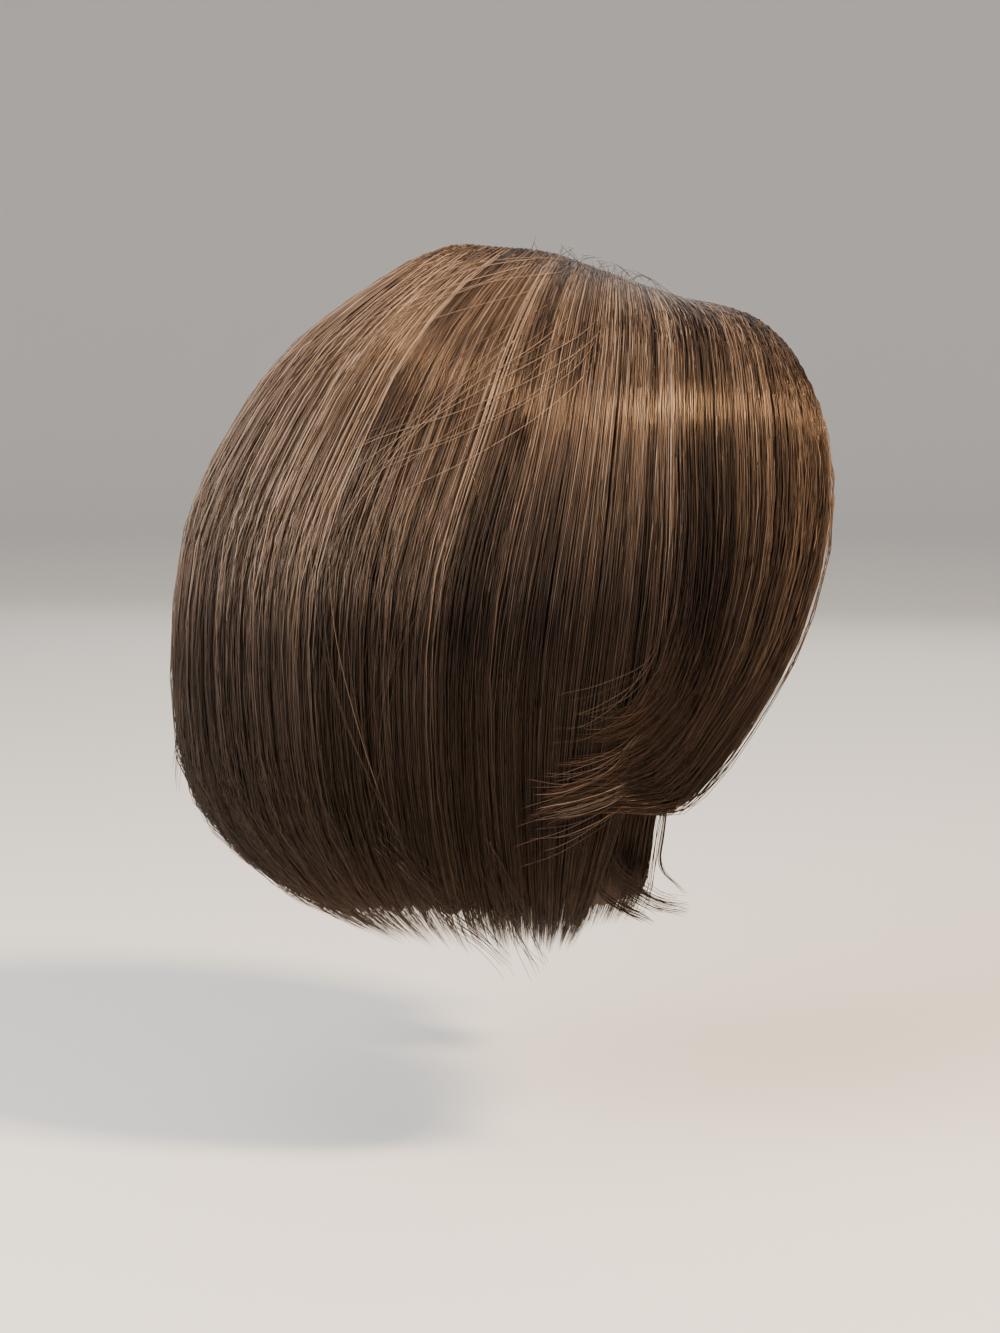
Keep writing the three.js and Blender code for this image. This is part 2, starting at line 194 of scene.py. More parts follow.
net = bpy.data.materials.new("dark stretch net")
net.use_nodes = True
nodes = net.node_tree.nodes
links = net.node_tree.links
shader = nodes["Principled BSDF"]
shader.inputs["Roughness"].default_value = 0.85
shader.inputs["Specular IOR Level"].default_value = 0.2
shader.inputs["Sheen Weight"].default_value = 0.06
place = nodes.new("ShaderNodeTexCoord")
mesh_cells = nodes.new("ShaderNodeTexVoronoi")
mesh_cells.feature = "DISTANCE_TO_EDGE"
mesh_cells.inputs["Scale"].default_value = 620
threads = nodes.new("ShaderNodeValToRGB")
threads.color_ramp.elements[0].position = 0.05
threads.color_ramp.elements[0].color = (0.034, 0.023, 0.018, 1)
threads.color_ramp.elements[1].position = 0.16
threads.color_ramp.elements[1].color = (0.010, 0.007, 0.006, 1)
raised = nodes.new("ShaderNodeBump")
raised.inputs["Strength"].default_value = 0.5
raised.inputs["Distance"].default_value = 0.0004
raised.invert = True
links.new(place.outputs["Object"], mesh_cells.inputs["Vector"])
links.new(mesh_cells.outputs["Distance"], threads.inputs["Fac"])
links.new(threads.outputs["Color"], shader.inputs["Base Color"])
links.new(mesh_cells.outputs["Distance"], raised.inputs["Height"])
links.new(raised.outputs["Normal"], shader.inputs["Normal"])
cap_mesh.materials.append(net)
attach(cap, "root")
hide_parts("cap")

# The hair fibre: smooth brown synthetic strands, each a shade lighter or darker than its neighbours, paler
# towards the tips, with painted shade that darkens them at the root and towards the hem. Below them lies a
# bed of packed fibre, the same hair seen as fine streaks, painted a little darker than the strands as
# painted shade under them. The strands carry their shade and the share of their length with them.
SHADES = (
    (0.0, (0.0036, 0.0026, 0.0026)),
    (0.3, (0.0085, 0.0062, 0.0058)),
    (0.55, (0.028, 0.0196, 0.0164)),
    (0.8, (0.094, 0.0655, 0.0485)),
    (1.0, (0.260, 0.190, 0.144)),
)
TIP_SHADE = (0.085, 0.042, 0.022)


def fibre_material(name, roughness, streaked):
    made = bpy.data.materials.new(name)
    made.use_nodes = True
    nodes = made.node_tree.nodes
    links = made.node_tree.links
    shader = nodes["Principled BSDF"]
    shader.inputs["Roughness"].default_value = roughness
    shader.inputs["IOR"].default_value = 1.55
    shader.inputs["Specular IOR Level"].default_value = 0.25
    shader.inputs["Specular Tint"].default_value = (1.0, 0.7, 0.48, 1)
    shade = nodes.new("ShaderNodeAttribute")
    shade.attribute_name = "shade"
    along = nodes.new("ShaderNodeAttribute")
    along.attribute_name = "along"
    ramp = nodes.new("ShaderNodeValToRGB")
    while len(ramp.color_ramp.elements) < len(SHADES):
        ramp.color_ramp.elements.new(1.0)
    for stop, (place, colour) in zip(ramp.color_ramp.elements, SHADES):
        stop.position = place
        stop.color = (*colour, 1)
    tip = nodes.new("ShaderNodeMapRange")
    tip.interpolation_type = "SMOOTHSTEP"
    tip.inputs["From Min"].default_value = 0.84
    tip.inputs["From Max"].default_value = 1.0
    tip.inputs["To Max"].default_value = 0.4
    paler = nodes.new("ShaderNodeMix")
    paler.data_type = "RGBA"
    # A colour mix knows its sockets by number: 0 is the share, 6 and 7 are the colours.
    paler.inputs[7].default_value = (*TIP_SHADE, 1)
    links.new(along.outputs["Fac"], tip.inputs["Value"])
    links.new(tip.outputs["Result"], paler.inputs[0])
    links.new(ramp.outputs["Color"], paler.inputs[6])
    links.new(paler.outputs[2], shader.inputs["Base Color"])
    if not streaked:
        links.new(shade.outputs["Fac"], ramp.inputs["Fac"])
        return made
    flow = nodes.new("ShaderNodeAttribute")
    flow.attribute_name = "flow"
    streaks = nodes.new("ShaderNodeTexNoise")
    streaks.inputs["Scale"].default_value = 1.0
    streaks.inputs["Detail"].default_value = 3.0
    streaks.inputs["Roughness"].default_value = 0.7
    uneven = nodes.new("ShaderNodeMath")
    uneven.operation = "MULTIPLY_ADD"
    uneven.inputs[1].default_value = 0.9
    # Painted shade: the bed is painted about a tenth of the shade scale darker than the strands, for lying
    # under them; the streaks are the fibre's own uneven tone.
    darker = nodes.new("ShaderNodeMath")
    darker.operation = "SUBTRACT"
    darker.inputs[1].default_value = 0.55
    raised = nodes.new("ShaderNodeBump")
    raised.inputs["Strength"].default_value = 0.8
    raised.inputs["Distance"].default_value = 0.0006
    links.new(flow.outputs["Vector"], streaks.inputs["Vector"])
    links.new(streaks.outputs["Fac"], uneven.inputs[0])
    links.new(shade.outputs["Fac"], uneven.inputs[2])
    links.new(uneven.outputs["Value"], darker.inputs[0])
    links.new(darker.outputs["Value"], ramp.inputs["Fac"])
    links.new(streaks.outputs["Fac"], raised.inputs["Height"])
    links.new(raised.outputs["Normal"], shader.inputs["Normal"])
    return made


strand_fibre = fibre_material("brown hair strands", 0.21, False)
packed_fibre = fibre_material("packed hair fibre", 0.45, True)

# The nape hair: the shortest, innermost weft of the same fibre, sewn low on the cap, at the neck. Its
# darkest shade is painted shade, for lying innermost under the other layers.
# All the hair is laid the same way: its locks follow paths over the cap, each strand keeps to a lock,
# and the layers thin out together to the hem.
HAIR = {
    "rise": 0.1245, "drop": 0.121, "front": 0.107, "back": 0.122, "side": 0.099,
    "front_shares": (1.01, 0.965, 0.985, 1.1, 1.105, 1.05, 0.985, 0.95, 0.97, 1.0, 1.0, 1.0),
    "side_shares": (1.01, 0.985, 0.97, 0.98, 0.985, 1.0, 1.0, 1.015, 1.05, 1.085, 1.1, 1.1),
    "back_shares": (1.01, 1.005, 0.97, 0.965, 0.96, 0.98, 0.995, 1.04, 1.11, 1.095, 1.05, 1.02),
}
BROW = 60
EYE = 85
CHEEK = 100
PARTING = ((38, -10), (4, -3))
PARTING_HALF_WIDTH = 0.8
JAW_SHARE = {"sweep": 0.85, "top": 0.5, "under": 0.5, "nape": 0.5}
SEWN_AT = {"under": 51, "nape": 94}
LAYER_ENDS = {"top": (0.28, 34, 56), "under": (0.6, 51, 76), "nape": (0.86, 94, 112)}
SEAT = 0.0009
TIP_SHARE = 0.32
HEM_THINS = (112, 150)
LAYER_GAP = 0.0022
GAP_GROWTH = 0.0014
GAP_WIDENS = (105, 140)
ROOT_THICKNESS = 0.0026
ROOT_END = 0.1
JAW_BARES = {"polar": (125, 140), "azimuth": (54, 68), "share": 0.7}
SWEEP_LIFT = 0.0008
SWEEP_TIP = 0.0019
SWEEP_PASSES = {"azimuth": (52, 62), "polar": (78, 90)}
SWEEP_THINS = {"from": 0.55, "share": 0.55}
FLOW_LINES = 97
FLOW_STEPS = 49
STATION_STEPS = 16
FLOW_PAST_TIP = 1.04
BED_TIP = 0.0003
# Painted shade at the root: how much darker the hair is painted there, and up to which share of its length.
ROOT_PAINTED_SHADE = 0.27
ROOT_PAINTED_SHADE_END = 0.2
TIP_REACH = 1.03
LOCK_ROUND = 0.0021
LOCK_LIFT = 0.0020
LOCK_UNEVEN = 0.28
LOCK_COLUMNS = 5
LOCK_SPILL = 0.12
LOCK_FILL = 1.1
LOCK_SWING = 0.22
LOCK_SHADE_VARIES = 0.07
STRAND_SHADE_VARIES = 0.1
SHADE_LIMITS = (0.16, 0.98)
STREAKS_ACROSS = 9
STREAKS_ALONG = 3
PALE_STRANDS = 0.18
PALER_BY = (0.1, 0.32)
LOOSE_STRANDS = 0.12
LOOSE_PALER_BY = 0.08
LOOSE_STANDS = 0.0008
LAYER_SPREAD = 0.0016
SPREAD_LIMIT = 0.75
STRAND_TAPER = 0.55
TAPER_POWER = 5
STRAND_WIDTHS = (0.00026, 0.00044)
LAYOUT_EDGE = 0.01
LAYOUT_HIGH = 0.96
LAYOUT_STRANDS = 0.46
LAYOUT_ROD = 0.003
LAYOUT_BED = 0.5
LAYOUT_BED_WIDE = 0.24
LAYOUT_LINING = 0.245


def hair_room(azimuth, polar):
    """The depth of hair between its outline and the cap."""
    vector = form_vector(HAIR, azimuth, polar)
    length = np.linalg.norm(vector, axis=-1)
    scaled = np.stack(
        [
            vector[..., 0] / HEAD["side"],
            vector[..., 1] / np.where(vector[..., 1] < 0, HEAD["front"], HEAD["back"]),
            vector[..., 2] / np.where(vector[..., 2] > 0, HEAD["rise"], HEAD["drop"]),
        ],
        axis=-1,
    )
    span = np.linalg.norm(scaled, axis=-1)
    head_azimuth = np.degrees(np.arctan2(-scaled[..., 0], -scaled[..., 1]))
    head_polar = np.degrees(np.arccos(np.clip(scaled[..., 2] / span, -1, 1)))
    return length - share_of(HEAD, head_azimuth, head_polar) / span * length - NET_THICKNESS


def layer_end(layer, azimuth, polar):
    share, start, end = LAYER_ENDS[layer]
    room = hair_room(azimuth, polar)
    taper = 1 + (TIP_SHARE - 1) * eased(polar, *HEM_THINS)
    return np.minimum(room * (1 + (share - 1) * eased(polar, start, end)) * taper, room - SEAT)


def layer_gap(polar):
    return LAYER_GAP + GAP_GROWTH * eased(polar, *GAP_WIDENS)


def layer_faces(layer, azimuth, polar, along):
    """The depths of a layer's outer and inner faces. along is 0 at the root and 1 at the tip."""
    if layer == "nape":
        return layer_end("under", azimuth, polar) + layer_gap(polar), layer_end("nape", azimuth, polar)
    inner = layer_end("top", azimuth, polar)
    if layer == "under":
        bare = eased(polar, *JAW_BARES["polar"]) * (1 - eased(np.abs(azimuth), *JAW_BARES["azimuth"]))
        outer = (inner + layer_gap(polar)) * (1 - JAW_BARES["share"] * bare)
        return outer, layer_end("under", azimuth, polar)
    outer = np.maximum(0, (inner - ROOT_THICKNESS) * (1 - eased(along, 0, ROOT_END)))
    if layer == "top":
        return outer, inner
    over = eased(np.abs(azimuth), *SWEEP_PASSES["azimuth"]) * eased(polar, *SWEEP_PASSES["polar"])
    thin = 1 - SWEEP_THINS["share"] * eased(along, SWEEP_THINS["from"], 1)
    return (
        outer + (-SWEEP_LIFT - SWEEP_TIP * thin - outer) * over,
        inner * thin + (-SWEEP_LIFT - inner * thin) * over,
    )


def on_map(azimuth, polar):
    """A direction on a flat map of the head, with the crown at its middle."""
    return np.stack([polar * np.cos(np.radians(azimuth)), polar * np.sin(np.radians(azimuth))], -1)


def flow_lines(paths, layer, hand):
    """Lines along which the hair lies, from the first path to the last, in even steps."""
    across = np.linspace(0, 1, FLOW_LINES)
    part, brow, eye, cheek, jaw, end, tip = smooth_at(paths, across).T
    brow, eye, cheek, jaw, end = (hand * angle for angle in (brow, eye, cheek, jaw, end))
    if layer in SEWN_AT:
        stations = [on_map(brow, np.full(FLOW_LINES, SEWN_AT[layer]))]
    else:
        ends = np.array(PARTING, float)
        root = ends[0] + (ends[1] - ends[0]) * part[:, None]
        away = on_map(brow, np.full(FLOW_LINES, BROW)) - root
        away /= np.linalg.norm(away, axis=-1, keepdims=True)
        stations = [root + PARTING_HALF_WIDTH * away]
    if layer != "nape":
        stations += [on_map(brow, np.full(FLOW_LINES, BROW)), on_map(eye, np.full(FLOW_LINES, EYE))]
    jaw_level = CHEEK + (tip - CHEEK) * JAW_SHARE[layer]
    stations += [on_map(cheek, np.full(FLOW_LINES, CHEEK)), on_map(jaw, jaw_level), on_map(end, tip)]
    stations = [2 * stations[0] - stations[1], *stations, 2 * stations[-1] - stations[-2]]
    drawn = []
    for before, start, stop, after in zip(stations, stations[1:], stations[2:], stations[3:]):
        gaps = [np.sqrt(np.linalg.norm(b - a, axis=-1))[:, None] for a, b in
                ((before, start), (start, stop), (stop, after))]
        first = (
            (start - before) / gaps[0]
            - (stop - before) / (gaps[0] + gaps[1])
            + (stop - start) / gaps[1]
        )
        second = (
            (stop - start) / gaps[1]
            - (after - start) / (gaps[1] + gaps[2])
            + (after - stop) / gaps[2]
        )
        first *= gaps[1]
        second *= gaps[1]
        for share in np.linspace(0, 1, STATION_STEPS, endpoint=False):
            drawn.append(
                start + first * share + (3 * (stop - start) - 2 * first - second) * share**2
                + (2 * (start - stop) + first + second) * share**3
            )
    drawn.append(stations[-2])
    drawn = np.stack(drawn, axis=1)
    run = np.linalg.norm(np.diff(drawn, axis=1), axis=-1).cumsum(axis=1)
    run = np.concatenate([np.zeros((FLOW_LINES, 1)), run], axis=1)
    steps = np.linspace(0, 1, FLOW_STEPS)
    even = [
        [np.interp(steps * run[line, -1], run[line], drawn[line, :, axis]) for axis in (0, 1)]
        for line in range(FLOW_LINES)
    ]
    return np.array(even).transpose(0, 2, 1)


def read_flow(lines, across, along):
    """Azimuth and polar angle at a place across and along a panel of hair."""
    i = across * (FLOW_LINES - 1)
    k = np.clip(along, 0, FLOW_PAST_TIP) * (FLOW_STEPS - 1)
    i0 = np.clip(i.astype(int), 0, FLOW_LINES - 2)
    k0 = np.clip(k.astype(int), 0, FLOW_STEPS - 2)
    u = (i - i0)[..., None]
    v = (k - k0)[..., None]
    spot = (
        lines[i0, k0] * (1 - u) * (1 - v) + lines[i0 + 1, k0] * u * (1 - v)
        + lines[i0, k0 + 1] * (1 - u) * v + lines[i0 + 1, k0 + 1] * u * v
    )
    return np.degrees(np.arctan2(spot[..., 1], spot[..., 0])), np.hypot(spot[..., 0], spot[..., 1])


def strand_rods(centres, widths):
    """Tapered three-sided rods along lines of places: their points, and the faces of the first."""
    rings = centres.shape[1]
    run = np.gradient(centres, axis=1)
    run /= np.linalg.norm(run, axis=-1, keepdims=True)
    side = np.cross(run, centres - CENTRE)
    side /= np.linalg.norm(side, axis=-1, keepdims=True)
    out = np.cross(side, run)
    taper = 1 - STRAND_TAPER * np.linspace(0, 1, rings)[None, :, None] ** TAPER_POWER
    radius = widths[:, None, None] / 2 * taper
    corners = [
        centres + radius * (math.cos(turn) * side + math.sin(turn) * out)
        for turn in (math.radians(90), math.radians(210), math.radians(330))
    ]
    body = np.stack(corners, axis=2)[:, :-1].reshape(len(centres), -1, 3)
    ring, corner = np.meshgrid(np.arange(rings - 2), np.arange(3), indexing="ij")
    a = 3 * ring + corner
    b = 3 * ring + (corner + 1) % 3
    quads = np.stack([a, a + 3, b + 3, b], -1).reshape(-1, 4)
    last = 3 * (rings - 2)
    tip = 3 * (rings - 1)
    ends = [[last + (j + 1) % 3, last + j, tip] for j in range(3)] + [[0, 1, 2]]
    return np.concatenate([body, centres[:, -1:]], axis=1), quads, np.array(ends)


def fuse_hair(name, centres, widths, shade, along, bed=None):
    """One mesh of strands, and of the bed below them, that knows its shade and share of length."""
    points, quads, ends = strand_rods(centres, widths)
    count, per_strand = points.shape[:2]
    ring = np.append(np.repeat(np.arange(centres.shape[1] - 1), 3), centres.shape[1] - 1)
    corner = np.append(np.tile(np.arange(3), centres.shape[1] - 1), 1)
    everything = points.reshape(-1, 3)
    shades = shade[:, ring].ravel()
    alongs = along[:, ring].ravel()
    offset = np.arange(count)[:, None, None] * per_strand
    four = (quads[None] + offset).reshape(-1, 4)
    three = (ends[None] + offset).reshape(-1, 3)
    # Strands of one shade share one narrow column of the layout, and the bed has the other half.
    column = LAYOUT_EDGE + LAYOUT_STRANDS * np.repeat(shade[:, 0], per_strand)
    column += LAYOUT_ROD * np.tile(corner, count)
    layout = np.stack([column, LAYOUT_EDGE + LAYOUT_HIGH * alongs], axis=-1)
    flow = np.zeros((len(everything), 3))
    if bed:
        four = np.concatenate([four, bed["faces"] + len(everything)])
        everything = np.concatenate([everything, bed["points"]])
        shades = np.concatenate([shades, bed["shade"]])
        alongs = np.concatenate([alongs, bed["along"]])
        layout = np.concatenate([layout, bed["layout"]])
        flow = np.concatenate([flow, bed["flow"]])
    corners = np.concatenate([four.ravel(), three.ravel()])
    starts = np.concatenate([np.arange(len(four)) * 4, len(four) * 4 + np.arange(len(three)) * 3])
    is_bed = np.zeros(len(starts), np.int32)
    is_bed[count * len(quads):len(four)] = 1

    mesh = bpy.data.meshes.new(name)
    mesh.vertices.add(len(everything))
    mesh.vertices.foreach_set("co", everything.ravel().astype(np.float32))
    mesh.loops.add(len(corners))
    mesh.loops.foreach_set("vertex_index", corners.astype(np.int32))
    mesh.polygons.add(len(starts))
    mesh.polygons.foreach_set("loop_start", starts.astype(np.int32))
    mesh.update(calc_edges=True)
    mesh.polygons.foreach_set("use_smooth", np.ones(len(starts), bool))
    mesh.materials.append(strand_fibre)
    mesh.materials.append(packed_fibre)
    mesh.polygons.foreach_set("material_index", is_bed)
    mesh.attributes.new("shade", "FLOAT", "POINT").data.foreach_set("value", shades.astype(np.float32))
    mesh.attributes.new("along", "FLOAT", "POINT").data.foreach_set("value", alongs.astype(np.float32))
    lay = mesh.attributes.new("flow", "FLOAT_VECTOR", "POINT").data
    lay.foreach_set("vector", flow.ravel().astype(np.float32))
    mesh.uv_layers.new(name="OFBake").data.foreach_set("uv", layout[corners].ravel().astype(np.float32))
    hair = bpy.data.objects.new(name, mesh)
    bpy.context.collection.objects.link(hair)
    return hair


def lay_hair(name, paths, layer, hand, locks, strands, shade, seed, painted_hem_shade=(0.0, 0.0, 1.0), inside=0.0,
             ragged=0.07, stagger=0.022, free_edge=False, fan=1.05, rings=14, bed_rows=26, bed_reach=0.945):
    """A panel of hair: a bed of packed fibre in rounded locks, with strands laid over it.

    painted_hem_shade is how much darker the hair is painted towards the hem, as painted shade, and between
    which shares of its length. inside is the share of strands on the lining, ragged and stagger are how
    unevenly strands and locks end, and fan is how far a lock opens towards its tip.
    """
    rng = np.random.default_rng(seed)
    lines = flow_lines(paths, layer, hand)
    edges = np.linspace(0, 1, locks + 1)
    edges[1:-1] += rng.uniform(-LOCK_UNEVEN, LOCK_UNEVEN, locks - 1) / locks
    middle = (edges[1:] + edges[:-1]) / 2
    half = np.diff(edges) / 2
    lift = rng.uniform(0, LOCK_LIFT, locks)
    short = rng.uniform(0, stagger, locks)
    lock_shade = shade + rng.normal(0, LOCK_SHADE_VARIES, locks)
    sway = rng.uniform(-1, 1, locks)

    def fall(along):
        """Painted shade: how much darker the hair is painted at its root and towards the hem."""
        painted_root_shade = ROOT_PAINTED_SHADE * (1 - eased(along, 0, ROOT_PAINTED_SHADE_END))
        return painted_root_shade + painted_hem_shade[0] * eased(along, painted_hem_shade[1], painted_hem_shade[2])

    def sunk(lock, off, along):
        """How far a place lies below its layer's face: locks part more towards the hem."""
        is_joint = ((lock == 0) & (off < 0) & (not free_edge)) | ((lock == locks - 1) & (off > 0))
        rounded = np.where(is_joint, 0, np.minimum(off**2, 1.2))
        depth = (LOCK_ROUND * rounded + lift[lock])[:, None]
        return depth * (0.3 * eased(along, 0.02, 0.2) + 0.7 * eased(along, 0.35, 0.8))

    columns = locks * LOCK_COLUMNS + 1
    spill = LOCK_SPILL / locks
    across = np.linspace(0 if free_edge else -spill, 1 + spill, columns)
    lock = np.clip(np.searchsorted(edges, across) - 1, 0, locks - 1)
    off = (across - middle[lock]) / half[lock]
    reach = bed_reach - 0.4 * short[lock] - 0.004 * off**2
    along = (np.linspace(0, 1, bed_rows) ** 1.1)[None, :] * reach[:, None]
    azimuth, polar = read_flow(lines, across[:, None] + 0 * along, along)
    outer, inner = layer_faces(layer, azimuth, polar, along)
    spread = np.minimum(LAYER_SPREAD, SPREAD_LIMIT * (inner - outer))
    bed_outer = np.minimum(outer + sunk(lock, off, along) + 0.85 * spread, inner - BED_TIP)
    points, faces = closed_sheet(
        at_depth(HAIR, azimuth, polar, bed_outer),
        at_depth(HAIR, azimuth, polar, inner),
    )
    over = np.tile(np.repeat(np.linspace(0, 1, columns), bed_rows), 2)
    down = np.tile(along.ravel(), 2)
    is_lining = np.repeat([0, 1], columns * bed_rows)
    column = LAYOUT_BED + LAYOUT_BED_WIDE * over + LAYOUT_LINING * is_lining
    bed = {
        "points": points,
        "faces": faces[:, ::-1] if hand < 0 else faces,
        "along": down,
        "shade": np.tile(np.repeat(lock_shade[lock], bed_rows), 2) - fall(down),
        "flow": np.stack([over * STREAKS_ACROSS * locks, down * STREAKS_ALONG, 0 * down], axis=-1),
        "layout": np.stack([column, LAYOUT_EDGE + LAYOUT_HIGH * down], axis=-1),
    }

    lock = rng.choice(locks, strands, p=half / half.sum())
    off = np.clip(rng.uniform(-1, 1, strands) + rng.normal(0, 0.2, strands), -1.3, 1.3)
    is_inside = rng.random(strands) < inside
    is_loose = (rng.random(strands) < LOOSE_STRANDS) & ~is_inside
    reach = TIP_REACH - short[lock] - 0.006 * off**2 - rng.beta(1.0, 1.6, strands) * ragged
    step = np.arange(rings) + np.where(
        (np.arange(rings) > 0) & (np.arange(rings) < rings - 1), rng.uniform(-0.5, 0.5, strands)[:, None], 0
    )
    share = (step / (rings - 1)) ** 1.06
    along = share * reach[:, None]
    stray = np.where(is_loose, rng.normal(0, 0.9, strands), rng.normal(0, 0.15, strands))
    wander = stray[:, None] * np.sin(
        along * rng.uniform(1.5, 3.5, strands)[:, None] + rng.uniform(0, 6.3, strands)[:, None]
    )
    gather = LOCK_FILL + (fan - LOCK_FILL) * along**2
    swing = (sway[lock] * LOCK_SWING)[:, None] * along**2
    across = middle[lock][:, None] + half[lock][:, None] * (off[:, None] * gather + wander + swing)
    azimuth, polar = read_flow(lines, across, along)
    outer, inner = layer_faces(layer, azimuth, polar, along)
    spread = np.minimum(LAYER_SPREAD, SPREAD_LIMIT * (inner - outer)) * eased(along, 0.02, 0.2)
    deep = np.where(is_loose, 0, rng.beta(1.0, 1.8, strands))[:, None]
    laid = outer + sunk(lock, off, along) * np.where(is_loose, 0.2, 1)[:, None] + deep * spread
    laid += rng.normal(0, 0.0005, strands)[:, None] * along**2
    laid -= (is_loose * rng.uniform(0, LOOSE_STANDS, strands))[:, None] * eased(along, 0.1, 0.3)
    lining = inner + 0.0001 - deep * 0.0005
    depth = np.where(is_inside[:, None], lining, np.minimum(laid, inner - 0.0001))
    is_pale = rng.random(strands) < PALE_STRANDS
    paler = np.where(is_loose, LOOSE_PALER_BY, 0) + is_pale * rng.uniform(*PALER_BY, strands)
    strand_shade = lock_shade[lock] + rng.normal(0, STRAND_SHADE_VARIES, strands) + paler
    strand_shade = np.clip(strand_shade, *SHADE_LIMITS)
    return fuse_hair(
        name, at_depth(HAIR, azimuth, polar, depth), rng.uniform(*STRAND_WIDTHS, strands),
        strand_shade[:, None] - fall(along), share, bed,
    )


# A path's row: its place along the parting, its azimuths at the brow, eye, cheek and jaw and where it
# ends, and the polar angle there, in degrees.
NAPE = (
    (0, 124, 124, 124, 124, 126, 145),
    (0, 180, 180, 180, 180, 180, 148),
    (0, 236, 236, 236, 236, 234, 145),
)
nape_hair = lay_hair(
    "nape_strands", NAPE, layer="nape", hand=1, locks=14, strands=340, shade=0.26, seed=11,
    inside=0.5, rings=10, bed_rows=12,
)
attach(nape_hair, "root")
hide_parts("nape_hair")

# The under hair: a second layer sewn half way up the cap, which fills out the bob from below.
# It is painted darker, as painted shade for lying under the top layer, and only its front edges and tips
# show, at the jaw and the hem.
UNDER_SIDE = (
    (0, 42, 47, 52, 58, 55, 144),
    (0, 56, 60, 64, 67, 65, 147),
    (0, 77, 82, 84, 84, 82, 146),
    (0, 98, 102, 103, 103, 102, 145),
)
UNDER_BACK = (
    (0, 99.5, 103.5, 104.5, 104.5, 103.5, 145),
    (0, 180, 180, 180, 180, 180, 149),
    (0, 260.5, 256.5, 255.5, 255.5, 256.5, 145),
)
under_hair = {
    "right_under_hair": lay_hair(
        "right_under_strands", UNDER_SIDE, layer="under", hand=1, locks=12, strands=950, shade=0.34,
        seed=21, inside=0.3, free_edge=True, rings=12,
    ),
    "left_under_hair": lay_hair(
        "left_under_strands", UNDER_SIDE, layer="under", hand=-1, locks=12, strands=700, shade=0.34,
        seed=22, inside=0.3, free_edge=True, rings=12,
    ),
    "back_under_hair": lay_hair(
        "back_under_strands", UNDER_BACK, layer="under", hand=1, locks=20, strands=650, shade=0.3,
        seed=23, inside=0.35, rings=12,
    ),
}
for node, piece in under_hair.items():
    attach(piece, "root")
    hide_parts(node)

# The back hair: the top layer from the crown to the hem, full at the back of the head and tucked in
# below. Its wefts are sewn round the crown, so the locks fan out from the end of the parting.
BACK = (
    (0.8, 97.6, 103.6, 104.6, 104.6, 103.6, 147),
    (0.97, 132, 136, 136, 136, 135, 150),
    (1.0, 180, 180, 180, 180, 180, 151),
    (0.97, 228, 224, 224, 224, 225, 150),
    (0.8, 262.4, 256.4, 255.4, 255.4, 256.4, 147),
)
# The back, side and fringe panels are painted darker towards the hem, as painted shade.
back_hair = lay_hair(
    "back_strands", BACK, layer="top", hand=1, locks=34, strands=2270, shade=0.645, seed=31,
    painted_hem_shade=(0.485, 0.48, 0.82),
)
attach(back_hair, "root")
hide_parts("back_hair")

# The side hair: the top layer over each ear, sewn along the parting in the same brown fibre.
# It falls straight to the hem, partly under the swept-back tips of the fringe.
SIDE = (
    (0.42, 58.8, 63.8, 66, 72, 75, 146),
    (0.64, 79, 85, 87, 87, 85, 147),
    (0.8, 97, 103, 104, 104, 103, 147),
)
side_hair = {
    "right_side_hair": lay_hair(
        "right_side_strands", SIDE, layer="top", hand=1, locks=15, strands=2200, shade=0.625, seed=41,
        painted_hem_shade=(0.465, 0.38, 0.74),
    ),
    "left_side_hair": lay_hair(
        "left_side_strands", SIDE, layer="top", hand=-1, locks=15, strands=1350, shade=0.625, seed=42,
        painted_hem_shade=(0.465, 0.38, 0.74),
    ),
}
for node, piece in side_hair.items():
    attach(piece, "root")
    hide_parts(node)

# The fringe: long hair from the front of the parting that crosses the forehead and is brushed back
# at the jaw, where its tips flick out over the side hair. The wearer's right side has the longer half.
FRINGE_RIGHT = (
    (0.0, 3, 20, 32, 55, 90, 122),
    (0.12, 28, 38, 46, 63, 89, 117),
    (0.25, 44, 51, 57, 69, 88, 113),
    (0.42, 58, 63, 69, 77, 86, 103.5),
)
FRINGE_LEFT = (
    (0.0, 27, 35, 42, 59, 89, 121),
    (0.13, 41, 48, 54, 67, 88, 115),
    (0.42, 58, 63, 69, 77, 86, 103.5),
)
fringe = {
    "right_fringe": lay_hair(
        "right_fringe_strands", FRINGE_RIGHT, layer="sweep", hand=1, locks=16, strands=2200, shade=0.5,
        seed=51, painted_hem_shade=(0.38, 0.25, 0.68),
        inside=0.1, ragged=0.3, stagger=0.15, free_edge=True, fan=1.6, bed_reach=0.78,
    ),
    "left_fringe": lay_hair(
        "left_fringe_strands", FRINGE_LEFT, layer="sweep", hand=-1, locks=12, strands=1200, shade=0.5,
        seed=52, painted_hem_shade=(0.38, 0.25, 0.68),
        inside=0.1, ragged=0.3, stagger=0.15, free_edge=True, fan=1.6, bed_reach=0.78,
    ),
}
for node, piece in fringe.items():
    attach(piece, "root")
    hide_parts(node)

